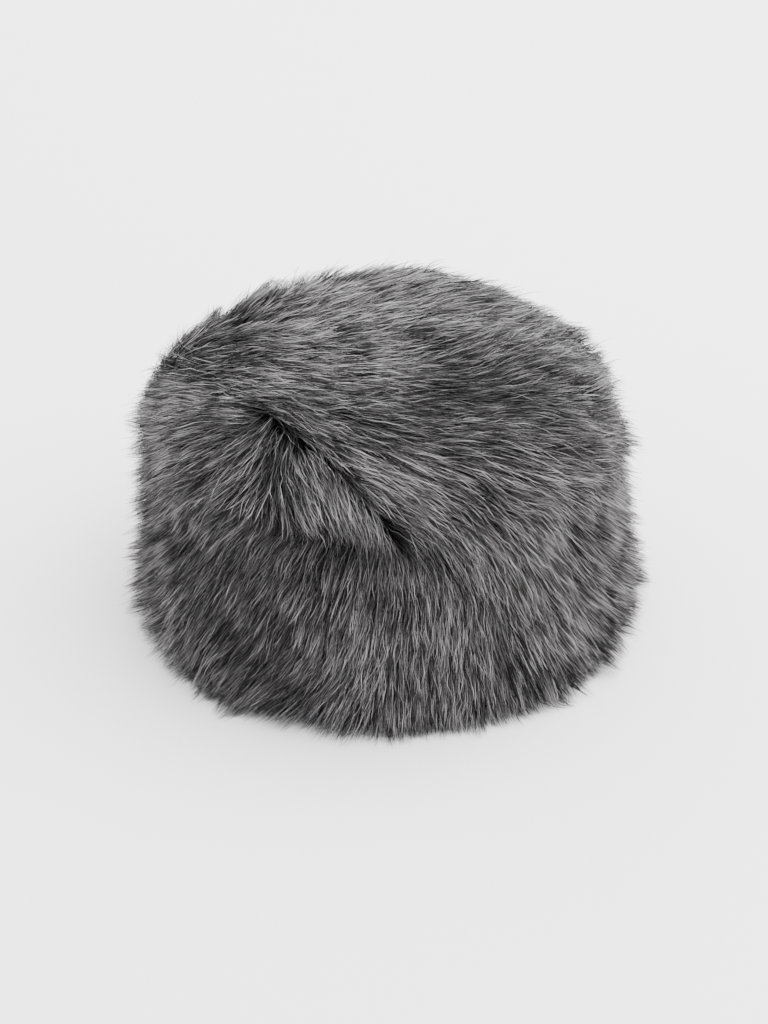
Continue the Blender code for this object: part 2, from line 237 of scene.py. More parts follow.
# Darker and paler places in the coat: partly the fur's own tone, partly painted shade on the front left, in
# the crease under the seam and between waves, and painted sheen on the top
PAINTED_LIGHT_AND_TONE_PATCHES = [Spot(*row) for row in (
    (-0.088, -0.090, 0.050, 0.026, -0.38), (-0.060, -0.108, 0.030, 0.022, -0.46),
    (-0.045, -0.112, 0.085, 0.013, -0.56), (-0.068, -0.102, 0.088, 0.014, -0.30),
    (-0.022, -0.114, 0.097, 0.012, -0.34), (-0.004, -0.118, 0.095, 0.013, -0.70),
    (0.018, -0.119, 0.093, 0.010, -0.40), (-0.101, -0.066, 0.088, 0.012, 0.42),
    (-0.094, -0.080, 0.056, 0.011, -0.38), (-0.104, -0.070, 0.030, 0.013, 0.50),
    (-0.082, -0.052, 0.124, 0.018, -0.42),
    (-0.073, -0.075, 0.119, 0.012, -0.26), (-0.056, -0.062, 0.132, 0.012, -0.24),
    (-0.050, -0.082, 0.125, 0.011, -0.52), (-0.030, -0.086, 0.128, 0.010, -0.14),
    (-0.030, -0.060, 0.138, 0.014, -0.38), (-0.004, -0.062, 0.139, 0.015, -0.40),
    (0.045, -0.008, 0.141, 0.024, -0.34), (0.038, -0.052, 0.137, 0.022, -0.48),
    (0.080, -0.030, 0.130, 0.024, -0.26), (0.030, -0.086, 0.128, 0.015, -0.26),
    (0.041, -0.104, 0.111, 0.010, 0.20), (0.063, -0.097, 0.106, 0.013, -0.22),
    (0.041, -0.112, 0.090, 0.012, -0.18), (0.070, -0.103, 0.018, 0.014, -0.10),
    (0.018, -0.124, 0.042, 0.013, -0.34), (0.092, -0.046, 0.122, 0.014, -0.28),
    (-0.040, 0.022, 0.142, 0.020, 0.26),
    (-0.026, -0.023, 0.143, 0.015, 1.10), (0.000, -0.022, 0.143, 0.015, 0.36),
    (-0.010, 0.050, 0.141, 0.026, 0.46), (0.022, 0.024, 0.142, 0.015, 0.62),
    (-0.038, -0.098, 0.118, 0.012, -0.06), (-0.008, -0.107, 0.118, 0.010, 0.80),
    (0.030, -0.122, 0.030, 0.014, 0.10), (0.095, -0.075, 0.070, 0.030, 0.04),
    (-0.040, 0.000, 0.142, 0.013, 0.24), (-0.016, -0.124, 0.028, 0.014, 0.32),
    (0.077, -0.098, 0.037, 0.014, 0.22), (0.052, -0.109, 0.074, 0.013, 0.20),
    (-0.111, -0.044, 0.086, 0.012, 0.28), (0.030, -0.044, 0.141, 0.012, -0.18),
    (-0.063, -0.036, 0.136, 0.010, 0.28),
    # Painted shadows: small dark gaps between the waves above and left of the whorl
    (-0.090, -0.014, 0.127, 0.0030, -0.92), (-0.080, -0.035, 0.129, 0.0030, -0.90),
    (-0.059, -0.051, 0.133, 0.0030, -0.80), (-0.087, 0.003, 0.129, 0.0026, -0.80),
    (-0.109, 0.004, 0.113, 0.0030, -0.70),
)]

# Fur layers. Lengths are metres. The lifts are how steeply the strands rise from the form at root and tip
# where it is level, in degrees. Stand is how far the tips stand out from the form, or in from it below 0,
# scatter is how far that varies, and pull is how far the strands are drawn together into wisps.
# Bright scales the strands' tone. The under layers' low one is partly the under hair's own darker colour and
# partly painted shade in the gaps between the guard hairs.
Layer = namedtuple("Layer", "name node is_crown strands wisps locks steps parts length root_lift tip_lift "
                   "stand scatter pull width bright seed")
LAYERS = (
    Layer("side_guard_fur", "band_fur", False, 59000, 16000, 1500, 4, 3, 0.029, 32, 9,
          -0.0010, 0.0018, 0.25, 0.00029, 1.09, 41),
    Layer("side_under_fur", "band_fur", False, 24000, 8000, 1500, 2, 1, 0.024, 32, 16,
          -0.0040, 0.0018, 0.30, 0.00070, 0.24, 42),
    Layer("crown_guard_fur", "crown_fur", True, 45500, 12000, 1200, 5, 3, 0.030, 30, 7,
          -0.0008, 0.0015, 0.32, 0.00032, 1.06, 43),
    Layer("crown_under_fur", "crown_fur", True, 24000, 7500, 1200, 2, 1, 0.024, 30, 14,
          -0.0032, 0.0013, 0.30, 0.00070, 0.24, 44),
)

# How locks, their wisps and the strands in those vary: the spread of their lift in degrees and of their
# rise as a share of the layer's scatter, and their turn, curl and wave in degrees. Wander is the spread of
# the place, in metres, that a lock or a wisp takes its lie from. The lengths are shares of the layer's.
# Locks have seeds of their own, so that the two layers of the crown or of the side draw the same ones.
Spread = namedtuple("Spread", "lift rise turn curl wave")
LOCK = Spread(3.0, 0.6, 5.0, 8.0, 3.0)
WISP = Spread(4.0, 0.7, 4.0, 6.0, 7.0)
STRAND = Spread(4.0, 0.5, 7.0, 8.0, 9.0)
WANDER = 0.002
WISP_LENGTHS = (0.75, 1.12)
STRAND_LENGTHS = (0.60, 1.10)
LOCK_PLACE_SEED = 500
LOCK_DRAW_SEED = 510

# How far wisps are drawn together into locks, the ranges that this and the strands' pull vary in, how the
# pull grows towards the tip, and how far a wisp follows the rise of its lock
LOCK_PULL = 0.35
LOCK_PULLS = (0.2, 1.6)
STRAND_PULLS = (0.3, 1.5)
PULL_GROWTH = 1.3
LOCK_FOLLOW = 0.5

# A strand's steps and swerves: the share of its length in the hidden first step, the phase that its wave
# gains in a step, where its curl starts, the most that a turn or curl may be, and the sizes of its waves
FIRST_STEP = 0.34
WAVE_STEP = 2.6
CURL_START = -0.5
SWERVE_LIMIT = 2.0
CRESTS = (0.4, 1.6)

# The steepest that a strand may rise, in radians. Low on the side it rises enough to keep off the floor:
# least room is the smallest share of its length that it is taken to hang down, and room at root is the
# share of the rise needed that it already has at its root.
STEEPEST = radians(76.0)
LEAST_ROOM = 0.25
ROOM_AT_ROOT = 0.75

# Tufts: the share of locks that stand up in points, how far in metres, how much more steeply in degrees,
# and how much more their wisps and strands are drawn together. Their size grows with the hold and towards
# the hem from a least one, and fades on the flat top. Loose ones are single wisps that stand up, and
# strays are single strands.
TUFT_SHARE = 0.20
SMALLEST_TUFT = 0.4
TUFT_RISE = 0.0078
TUFT_LIFT = 18.0
TUFT_PULL = 0.55
TUFT_POINT = 0.40
TUFT_BY_HOLD = 2.0
TUFT_BY_HEM = 0.6
LEAST_TUFT = 0.15
TUFT_FADE_HEIGHT = COAT_TOP - 0.014
TUFT_FADE_REACH = 0.008
TUFT_FADE = 0.65
LOOSE_SHARE = 0.06
SMALLEST_LOOSE = 0.3
STRAY_SHARE = 0.03
STRAY_RISE = 0.005

# Slow drifts over the coat, each by an amount, over a wavelength in metres: of the wisps' heading and lift
# in degrees, of their rise as a share of the layer's scatter, and of the tone. Each is a sum of waves whose
# lengths are stretched within a range.
Drift = namedtuple("Drift", "amount wavelength seed")
SWAY = Drift(6.0, 0.035, 900)
LIFT_DRIFT = Drift(3.0, 0.030, 903)
RISE_DRIFT = Drift(0.5, 0.045, 901)
TONE_DRIFTS = (Drift(0.08, 0.050, 902), Drift(0.03, 0.022, 904))
DRIFT_WAVES = 14
DRIFT_STRETCH = (0.6, 1.6)

# Ribbons that the strands are made of: their width along their length, the range of their widths, and how
# far they roll, in radians. Each has a cell of its own in the bake map, measured in its pixels.
TAPER_SHARES = (0.0, 0.3, 0.6, 0.8)
TAPER_WIDTHS = (0.8, 1.0, 0.85, 0.6)
WIDTHS = (0.7, 1.3)
ROLL_SPREAD = 0.8
MAP_SIZE = 1024
CELL_WIDTH = 2
CELL_HEIGHT = 16
CELL_SIDE_MARGIN = 0.15
CELL_END_MARGIN = 0.04

# Tones: the share of pale strands, the middle and spread of pale and dark ones as logarithms, how wisps
# vary, how much painted shade darkens fur deep down and at the hem by the floor, and how much painted glints
# brighten and darken it along its waves
PALE_SHARE = 0.42
PALE_TONE = (0.45, 0.28)
DARK_TONE = (-1.22, 0.45)
WISP_TONE_SPREAD = 0.12
TONE_LIMITS = (0.04, 2.8)
PAINTED_DEPTH_SHADE = 0.20
DEPTH_LIMIT = 2.5
PAINTED_GLINT = 0.25
PAINTED_HEM_SHADE = 0.35
PAINTED_HEM_SHADE_HEIGHT = 0.014

# Colours and surfaces. A strand has the root's colour up to the root's end, and the middle one at the middle
# place, both as shares of its length. The root's near-black colour is partly the fur's own dark base and
# partly painted shade deep in the coat. Grains are the scales of the noise.
ROOT_COLOUR_AND_SHADE = (0.0024, 0.0023, 0.0024)
MIDDLE_COLOUR = (0.062, 0.0601, 0.0612)
TIP_COLOUR = (0.165, 0.160, 0.1625)
ROOT_END = 0.15
MIDDLE_PLACE = 0.6
# The underfur's near-black colours are partly its own dark colour and partly painted shade deep in the coat
UNDERFUR_COLOURS_AND_SHADE = ((0.004, 0.004, 0.004), (0.009, 0.0088, 0.009))
UNDERFUR_GRAIN = 400.0
HIDE_COLOURS = ((0.13, 0.115, 0.105), (0.27, 0.245, 0.225))
HIDE_GRAIN = 900.0
HIDE_GRAIN_DETAIL = 6.0
HIDE_NAP_DEPTH = 0.0003
HIDE_NAP_STRENGTH = 0.5
FLOOR_COLOUR = (0.88, 0.88, 0.88)
FUR_ROUGHNESS = 0.42
UNDERFUR_ROUGHNESS = 0.95
HIDE_ROUGHNESS = 0.85
FLOOR_ROUGHNESS = 0.9
FUR_SPECULAR = 0.05

# Studio: metres, watts and millimetres of lens and sensor
FLOOR_SIZE = 30.0
WORLD_STRENGTH = 2.4
Light = namedtuple("Light", "name place size power")
LIGHTS = (
    Light("key_light", (1.1, 0.3, 1.6), 2.2, 120.0),
    Light("back_light", (-0.6, 1.2, 1.4), 2.0, 44.0),
)
LIGHT_AIM = (0.0, 0.0, 0.05)
CAMERA_ELEVATION = radians(33.5)
CAMERA_DISTANCE = 1.30
CAMERA_AIM = (0.0, 0.0, 0.0437)
CAMERA_LENS = 91.9
CAMERA_SENSOR = 36.0


# Form

def unit(vectors):
    """Vectors at length 1."""
    return vectors / np.maximum(np.linalg.norm(vectors, axis=-1, keepdims=True), TINY)


def side_radius(height):
    """Radius of the coat at each height."""
    share = (height - STRAIGHT_SIDE_HEIGHT) / (SHOULDER_HEIGHT - STRAIGHT_SIDE_HEIGHT)
    straight = SIDE_RADIUS - SHOULDER_DRAW_IN * np.clip(share, 0.0, 1.0) ** 2
    rise = np.clip((height - SHOULDER_HEIGHT) / DOME_HEIGHT, 0.0, 1.0)
    dome = SHOULDER_RADIUS * (1.0 - rise ** SHOULDER_EXPONENT) ** (1.0 / SHOULDER_EXPONENT)
    return np.where(height <= SHOULDER_HEIGHT, straight, dome)


def dome_height(radius):
    """Height of the dome at each radius."""
    share = np.clip(radius / SHOULDER_RADIUS, 0.0, 1.0)
    rise = (1.0 - share ** SHOULDER_EXPONENT) ** (1.0 / SHOULDER_EXPONENT)
    return SHOULDER_HEIGHT + DOME_HEIGHT * rise


def form_gradient(points):
    """How much a point of the dome lies outside it, and which way that grows."""
    radius = np.maximum(np.hypot(points[:, 0], points[:, 1]), SMALLEST_RADIUS)
    rise = np.maximum(points[:, 2] - SHOULDER_HEIGHT, 0.0) / DOME_HEIGHT
    share = radius / SHOULDER_RADIUS
    excess = share ** SHOULDER_EXPONENT + rise ** SHOULDER_EXPONENT - 1.0
    power = SHOULDER_EXPONENT - 1.0
    outward = SHOULDER_EXPONENT * share ** power / SHOULDER_RADIUS
    upward = SHOULDER_EXPONENT * rise ** power / DOME_HEIGHT
    gradient = np.stack([outward * points[:, 0] / radius, outward * points[:, 1] / radius, upward], 1)
    return excess, gradient


def form_normal(points):
    """Outward direction of the form at each point."""
    _, gradient = form_gradient(points)
    on_side = points[:, 2] < SHOULDER_HEIGHT
    gradient[on_side, 2] = 0.0
    return unit(gradient)


def settle(points):
    """Points put back on the form after a short step off it."""
    on_dome = points[:, 2] >= SHOULDER_HEIGHT
    settled = points.copy()
    for _ in range(2):
        excess, gradient = form_gradient(settled)
        step = excess / np.maximum(np.sum(gradient ** 2, axis=1), TINY)
        moved = settled - gradient * step[:, None]
        settled[on_dome] = moved[on_dome]
    radius = np.maximum(np.hypot(points[:, 0], points[:, 1]), SMALLEST_RADIUS)
    wanted = side_radius(points[:, 2]) / radius
    settled[~on_dome, :2] = points[~on_dome, :2] * wanted[~on_dome, None]
    return settled


def form_profile():
    """Radius and height along the form's outline from the hem to the top, and the share of the area below."""
    wall_height = np.linspace(HEM_ROOT_HEIGHT, SHOULDER_HEIGHT, FORM_WALL_ROWS)
    angle = np.linspace(0.0, 0.5 * pi, FORM_DOME_ROWS + 1)[1:]
    dome_radius = SHOULDER_RADIUS * np.cos(angle) ** (2.0 / SHOULDER_EXPONENT)
    dome_rise = DOME_HEIGHT * np.sin(angle) ** (2.0 / SHOULDER_EXPONENT)
    radius = np.concatenate([side_radius(wall_height), dome_radius])
    height = np.concatenate([wall_height, SHOULDER_HEIGHT + dome_rise])
    slant = np.hypot(np.diff(radius), np.diff(height))
    area = np.concatenate([[0.0], np.cumsum(slant * 0.5 * (radius[1:] + radius[:-1]))])
    return radius, height, area / area[-1]


# Values by place

def by_place(points, column):
    """Value of a column of SIDE_LIE at the place of each point round the hat."""
    place = np.degrees(np.arctan2(points[:, 0], -points[:, 1]))
    return np.interp(place, [row.place for row in SIDE_LIE], [getattr(row, column) for row in SIDE_LIE])


def drift(points, slow):
    """A smooth wandering value about zero, one for each point."""
    chance = np.random.default_rng(slow.seed)
    total = np.zeros(len(points))
    for _ in range(DRIFT_WAVES):
        direction = unit(chance.normal(0.0, 1.0, (1, 3)))[0]
        stretch = chance.uniform(*DRIFT_STRETCH)
        phase = chance.uniform(0.0, 2.0 * pi)
        total += np.sin(points @ direction * 2.0 * pi / (slow.wavelength * stretch) + phase)
    return slow.amount * (total * (2.0 / DRIFT_WAVES) ** 0.5)


def nearness(points, spot):
    """1 at a spot, falling off to 0 beyond its reach."""
    gap = np.sum((points - np.array([spot.x, spot.y, spot.z])) ** 2, axis=1)
    return np.exp(-0.5 * gap / spot.reach ** 2)


def spot_sum(points, spots):
    """Sum of the spots' amounts at each point."""
    return sum(spot.amount * nearness(points, spot) for spot in spots)


def combed_share(points):
    """How far the fur at each point lies as if combed, from 0 to 1."""
    return np.clip(spot_sum(points, COMBED), 0.0, 1.0)


def hem_share(points, height):
    """1 at the floor, falling off to 0 at a height."""
    return np.clip(1.0 - points[:, 2] / height, 0.0, 1.0)


def groove_depth(points):
    """How deep the fur lies below the seam at each point."""
    above = points[:, 2] - (SEAM_HEIGHT - GROOVE_BELOW_SEAM)
    return by_place(points, "groove") * np.exp(-(above / GROOVE_REACH) ** 2)


def relief(points):
    """How much further out than the form the fur stands at each point."""
    rise = spot_sum(points, BULGES) - groove_depth(points)
    return rise + HEM_FLARE * hem_share(points, HEM_FLARE_HEIGHT)


# Lie of the fur

def by_parting(points):
    """How far each point lies to the right of the parting in plan, and the mix and ridge of it there."""
    line = np.array(PARTING)
    far = np.full(len(points), 1.0)
    right = np.zeros(len(points))
    mix = np.zeros(len(points))
    ridge = np.zeros(len(points))
    for start, end in zip(line[:-1], line[1:]):
        along = end[:2] - start[:2]
        flat = points[:, :2] - start[:2]
        share = np.clip(flat @ along / (along @ along), 0.0, 1.0)
        gap = np.linalg.norm(flat - share[:, None] * along, axis=1)
        turn = along[0] * flat[:, 1] - along[1] * flat[:, 0]
        nearer = gap < far
        far[nearer] = gap[nearer]
        right[nearer] = (np.sign(turn) * gap)[nearer]
        mix[nearer] = (start[2] + (end[2] - start[2]) * share)[nearer]
        ridge[nearer] = (start[3] + (end[3] - start[3]) * share)[nearer]
    return right, mix, ridge


def lies_right(points, chance):
    """Which points have fur of the parting's right side. Close to the parting the two furs cross."""
    right, mix, _ = by_parting(points)
    return right > mix * np.clip(chance.normal(0.0, 1.0, len(points)), -MIX_LIMIT, MIX_LIMIT)


def near_parting(points, reach):
    """1 on the parting, falling off to 0 beyond a reach."""
    right, _, _ = by_parting(points)
    return np.exp(-(right / reach) ** 2)


def ridge_rise(points, is_right):
    """How much the fur stands up to the right of the ridge, and lies low to the left of it."""
    right, _, ridge = by_parting(points)
    near = ridge * np.exp(-(right / RIDGE_REACH) ** 2)
    return np.where(is_right, near, -RIDGE_LOW_SHARE * near)


def crown_heading(points, is_right):
    """Level direction of the crown's fur, between the guides of its side of the parting."""
    total = np.zeros((len(points), 2))
    everywhere = np.ones(len(points))
    groups = ((LEFT_GUIDES, 1.0 - is_right), (RIGHT_GUIDES, 1.0 * is_right), (BACK_GUIDES, everywhere))
    for guides, share in groups:
        for x, y, heading in guides:
            gap = (points[:, 0] - x) ** 2 + (points[:, 1] - y) ** 2
            weight = share / (gap + GUIDE_SOFTNESS ** 2) ** 2
            total[:, 0] += weight * cos(radians(heading))
            total[:, 1] += weight * sin(radians(heading))
    return unit(total)


def side_lean(points):
    """Lean of the side's fur from straight down, in radians."""
    middle = by_place(points, "middle")
    fade = by_place(points, "fade")
    height = points[:, 2] / WALL_TOP
    upper = np.clip((height - fade) / (SEAM_LEAN_SHARE - fade), 0.0, 1.0)
    lower = np.clip((HEM_LEAN_SHARE - height) / HEM_LEAN_REACH, 0.0, 1.0)
    to_seam = (by_place(points, "seam") - middle) * upper
    to_hem = (by_place(points, "hem") - middle) * lower
    return np.radians(middle + to_seam + to_hem)


def along_form(vectors, normals):
    """Directions laid flat on the form."""
    return unit(vectors - normals * np.sum(vectors * normals, axis=1)[:, None])


def flow(points, normals, is_crown, wander, is_right):
    """Direction of the fur along the form at each point."""
    lean = side_lean(points)[:, None]
    around = unit(np.column_stack([-points[:, 1], points[:, 0], np.zeros(len(points))]))
    wanted = around * np.sin(lean) + np.array([0.0, 0.0, -1.0]) * np.cos(lean)
    if is_crown:
        level = crown_heading(points[:, :2] + wander, is_right)
        over_crown = along_form(np.column_stack([level, np.zeros(len(points))]), normals)
        reach = BEND_REACH + GROOVE_BEND * by_place(points, "groove")
        past_seam = np.clip((BEND_HEIGHT - points[:, 2]) / reach, 0.0, 1.0)[:, None]
        wanted = over_crown * (1.0 - past_seam) + wanted * past_seam
    return along_form(wanted, normals)


# Strands

def scatter_form(count, chance):
    """Points spread evenly over the whole form."""
    radii, heights, area = form_profile()
    share = chance.random(count)
    radius = np.interp(share, area, radii)
    height = np.interp(share, area, heights)
    angle = chance.uniform(-pi, pi, count)
    return settle(np.column_stack([radius * np.cos(angle), radius * np.sin(angle), height]))


def scatter_parting(count, chance):
    """Points close to the parting."""
    line = np.array(PARTING)[:, :2]
    part = chance.integers(0, len(line) - 1, count)
    share = chance.random(count)[:, None]
    flat = line[part] * (1.0 - share) + line[part + 1] * share
    flat = flat + chance.normal(0.0, PARTING_REACH, (count, 2))
    radius = np.hypot(flat[:, 0], flat[:, 1])
    inside = np.minimum(radius, SHOULDER_RADIUS * PARTING_EDGE)
    flat = flat * (inside / radius)[:, None]
    return settle(np.column_stack([flat, dome_height(inside)]))


def scatter(is_crown, count, chance):
    """Points over the crown or the side, parted at the seam. The crown has some more close to its parting."""
    found = scatter_parting(int(count * PARTING_STRANDS), chance) if is_crown else np.zeros((0, 3))
    seam = SEAM_HEIGHT if is_crown else SEAM_HEIGHT + SEAM_OVERLAP
    draw = GROOVE_DRAW_UP if is_crown else -GROOVE_DRAW_DOWN
    while len(found) < count:
        points = scatter_form(count, chance)
        edge = seam + by_place(points, "groove") * draw
        above = points[:, 2] > edge + by_place(points, "blend") * chance.normal(0.0, 1.0, count)
        found = np.concatenate([found, points[above == is_crown]])
    return found[:count]


def nearest(centres, points):
    """Number of the centre that is nearest to each point."""
    tree = KDTree(len(centres))
    for number, centre in enumerate(centres):
        tree.insert(centre, number)
    tree.balance()
    return np.array([tree.find(point)[1] for point in points])


def step_shares(steps):
    """Share of a strand's length in each of its steps: a long one where it is hidden, then even ones."""
    return np.array([FIRST_STEP] + [(1.0 - FIRST_STEP) / (steps - 1)] * (steps - 1))


def point_shares(steps):
    """Share of a strand's length below each of its points, from 0 at the root to 1 at the tip."""
    return np.concatenate([[0.0], np.cumsum(step_shares(steps))])


def strand_lifts(layer, roots, ahead, length, bias):
    """How steeply each step of each strand rises from the form, in radians."""
    descent = np.degrees(np.arcsin(np.clip(-ahead[:, 2], 0.0, 1.0)))
    held = by_place(roots, "hold") * descent + bias
    share = np.cumsum(step_shares(layer.steps)) - 0.5 * step_shares(layer.steps)
    lay = layer.root_lift + (layer.tip_lift - layer.root_lift) * share
    lifts = np.radians(held[:, None] + lay[None, :])
    if not layer.is_crown:
        room = np.clip((roots[:, 2] - FLOOR_CLEARANCE) / length, LEAST_ROOM, 1.0)
        needed = np.arccos(room)[:, None] * (ROOM_AT_ROOT + (1.0 - ROOM_AT_ROOT) * share[None, :])
        lifts = np.maximum(lifts, needed)
    return np.clip(lifts, 0.0, STEEPEST)


def grow(layer, roots, length, bias, turns, stand, wander, is_right):
    """Paths of strands over the form, and its normals along them. turns has a swerve for each step."""
    step_length = length[:, None] * step_shares(layer.steps)[None, :]
    points = roots
    normal = form_normal(points)
    ahead = flow(points, normal, layer.is_crown, wander, is_right)
    lifts = strand_lifts(layer, roots, ahead, length, bias)
    path = [points]
    normals = [normal]
    rises = [relief(points)]
    for step in range(layer.steps):
        aside = np.cross(normal, ahead)
        turn = turns[:, step, None]
        heading = ahead * np.cos(turn) + aside * np.sin(turn)
        advance = step_length[:, step] * np.cos(lifts[:, step])
        points = settle(points + heading * advance[:, None])
        normal = form_normal(points)
        path.append(points)
        normals.append(normal)
        rises.append(relief(points))
        ahead = flow(points, normal, layer.is_crown, wander, is_right)
    gains = step_length * np.sin(lifts)
    to_tip = np.concatenate([np.cumsum(gains[:, ::-1], axis=1)[:, ::-1], np.zeros((len(roots), 1))], axis=1)
    height = np.maximum(stand[:, None] + np.stack(rises, 1) - to_tip, -DEEPEST_ROOT)
    path = np.stack(path, 1)
    normals = np.stack(normals, 1)
    return path + normals * height[:, :, None], normals


def waves(chance, count, steps, spread):
    """Swerves of strands, in radians: a fixed turn, a curl that grows, and a wave from side to side."""
    share = np.linspace(CURL_START, 1.0, steps)[None, :]
    phase = chance.uniform(0.0, 2.0 * pi, (count, 1))
    swing = np.sin(phase + WAVE_STEP * np.arange(steps)[None, :])
    size = np.clip(chance.normal(0.0, 1.0, (2, count, 1)), -SWERVE_LIMIT, SWERVE_LIMIT)
    crest = chance.uniform(*CRESTS, (count, 1))
    return np.radians(spread.turn * size[0] + spread.curl * size[1] * share + spread.wave * crest * swing)


def draw_together(path, leaders, pull):
    """Strands drawn towards their leaders, more and more towards the tip."""
    rise = np.linspace(0.0, 1.0, path.shape[1]) ** PULL_GROWTH
    share = np.clip(pull, 0.0, 1.0)[:, None, None] * rise[None, :, None]
    return path + (leaders - path) * share


def tufts(layer, points, share, smallest, chance):
    """How far the fur at each point stands up in a tuft, from 0 to 1. Only a share of the points have one."""
    size = (chance.random(len(points)) < share) * chance.uniform(smallest, 1.0, len(points))
    hem = hem_share(points, HEM_FLARE_HEIGHT)
    flat_top = np.clip((points[:, 2] - TUFT_FADE_HEIGHT) / TUFT_FADE_REACH, 0.0, 1.0)
    allowed = np.clip(TUFT_BY_HOLD * by_place(points, "hold") + TUFT_BY_HEM * hem, LEAST_TUFT, 1.0)
    size = size * (allowed * (1.0 - TUFT_FADE * flat_top))
    if layer.is_crown:
        size = size * (1.0 - near_parting(points, CALM_REACH))
    return size


Locks = namedtuple("Locks", "roots right tuft bias wander rise path")
Wisps = namedtuple("Wisps", "roots right tuft length bias turns rise stand wander path")


def grow_locks(layer):
    """The locks that lead a layer's wisps."""
    roots = scatter(layer.is_crown, layer.locks, np.random.default_rng(LOCK_PLACE_SEED + layer.is_crown))
    chance = np.random.default_rng(LOCK_DRAW_SEED + layer.is_crown)
    right = lies_right(roots, chance)
    tuft = tufts(layer, roots, TUFT_SHARE, SMALLEST_TUFT, chance)
    bias = chance.normal(0.0, LOCK.lift, layer.locks) + tuft * TUFT_LIFT
    wander = chance.normal(0.0, WANDER, (layer.locks, 2))
    turns = waves(chance, layer.locks, layer.steps, LOCK)
    combed = combed_share(roots)
    rise = layer.scatter * chance.normal(0.0, LOCK.rise, layer.locks) * (1.0 + combed)
    stand = layer.stand + rise + tuft * TUFT_RISE
    length = layer.length * (1.0 + COMBED_LENGTH * combed)
    path, _ = grow(layer, roots, length, bias, turns, stand, wander, right)
    return Locks(roots, right, tuft, bias, wander, rise, path)


def grow_wisps(layer, locks, chance):
    """The wisps that lead a layer's strands, drawn together into locks."""
    roots = scatter(layer.is_crown, layer.wisps, chance)
    right = lies_right(roots, chance)
    lock = nearest(locks.roots, roots)
    tuft = locks.tuft[lock]
    loose = tufts(layer, roots, LOOSE_SHARE, SMALLEST_LOOSE, chance)
    combed = combed_share(roots)
    length = layer.length * chance.uniform(*WISP_LENGTHS, layer.wisps) * (1.0 + COMBED_LENGTH * combed)
    bias = locks.bias[lock] + chance.normal(0.0, WISP.lift, layer.wisps) + drift(roots, LIFT_DRIFT)
    bias = bias + loose * TUFT_LIFT
    wander = locks.wander[lock] + chance.normal(0.0, WANDER, (layer.wisps, 2))
    turns = waves(chance, layer.wisps, layer.steps, WISP) * (1.0 - COMBED_CALM * combed)[:, None]
    turns = turns + np.radians(drift(roots, SWAY))[:, None]
    rise = layer.scatter * (chance.normal(0.0, WISP.rise, layer.wisps) + drift(roots, RISE_DRIFT))
    rise = rise + (LOCK_FOLLOW + COMBED_FOLLOW * combed) * locks.rise[lock]
    stand = layer.stand + rise + np.minimum(tuft + loose, 1.0) * TUFT_RISE
    if layer.is_crown:
        stand = stand + ridge_rise(roots, right)
        length = length * (1.0 - (1.0 - PARTING_LENGTH) * near_parting(roots, PARTING_REACH))
    path, _ = grow(layer, roots, length, bias, turns, stand, wander, right)
    pull = LOCK_PULL * chance.uniform(*LOCK_PULLS, layer.wisps) * (1.0 + COMBED_PULL * combed)
    pull = pull + TUFT_PULL * (tuft > 0.0) + TUFT_POINT * tuft
    pull = pull * (right == locks.right[lock])
    path = draw_together(path, locks.path[lock], pull)
    return Wisps(roots, right, tuft, length, bias, turns, rise, stand, wander, path)


def grow_strands(layer, wisps, chance):
    """Centre lines of a layer's strands, drawn together into wisps, with the form's normals along them, the
    wisp of each strand, and how far out it lies as a share of the layer's scatter."""
    roots = scatter(layer.is_crown, layer.strands, chance)
    wisp = nearest(wisps.roots, roots)
    length = wisps.length[wisp] * chance.uniform(*STRAND_LENGTHS, layer.strands)
    bias = wisps.bias[wisp] + chance.normal(0.0, STRAND.lift, layer.strands)
    turns = wisps.turns[wisp] + waves(chance, layer.strands, layer.steps, STRAND)
    own_rise = layer.scatter * chance.normal(0.0, STRAND.rise, layer.strands)
    stray = chance.random(layer.strands) < STRAY_SHARE
    stand = wisps.stand[wisp] + own_rise + stray * chance.uniform(0.0, STRAY_RISE, layer.strands)
    path, normals = grow(layer, roots, length, bias, turns, stand, wisps.wander[wisp], wisps.right[wisp])
    pull = layer.pull * chance.uniform(*STRAND_PULLS, layer.strands) + TUFT_POINT * wisps.tuft[wisp]
    path = draw_together(path, wisps.path[wisp], pull * ~stray)
    path[:, :, 2] = np.maximum(path[:, :, 2], FLOOR_CLEARANCE)
    depth = (wisps.rise[wisp] + own_rise) / layer.scatter
    return path, normals, wisp, depth


def place_tones_and_painted_light(points, near_line):
    """Tone of the coat at each point: slow drifts, the parting, painted shade at the hem, and the patches of
    tone, painted shade and painted sheen.
    """
    tone_and_painted_light = np.ones(len(points))
    for slow in TONE_DRIFTS:
        tone_and_painted_light = tone_and_painted_light + drift(points, slow)
    tone_and_painted_light = tone_and_painted_light * (1.0 + PARTING_TONE * near_line)
    # Painted shade: darker towards the floor at the hem
    tone_and_painted_light = tone_and_painted_light * (1.0 - PAINTED_HEM_SHADE * hem_share(points, PAINTED_HEM_SHADE_HEIGHT))
    # Patches of the fur's own tone, with painted shade and painted sheen among them
    for spot in PAINTED_LIGHT_AND_TONE_PATCHES:
        tone_and_painted_light = tone_and_painted_light * (1.0 + spot.amount * nearness(points, spot))
    return tone_and_painted_light


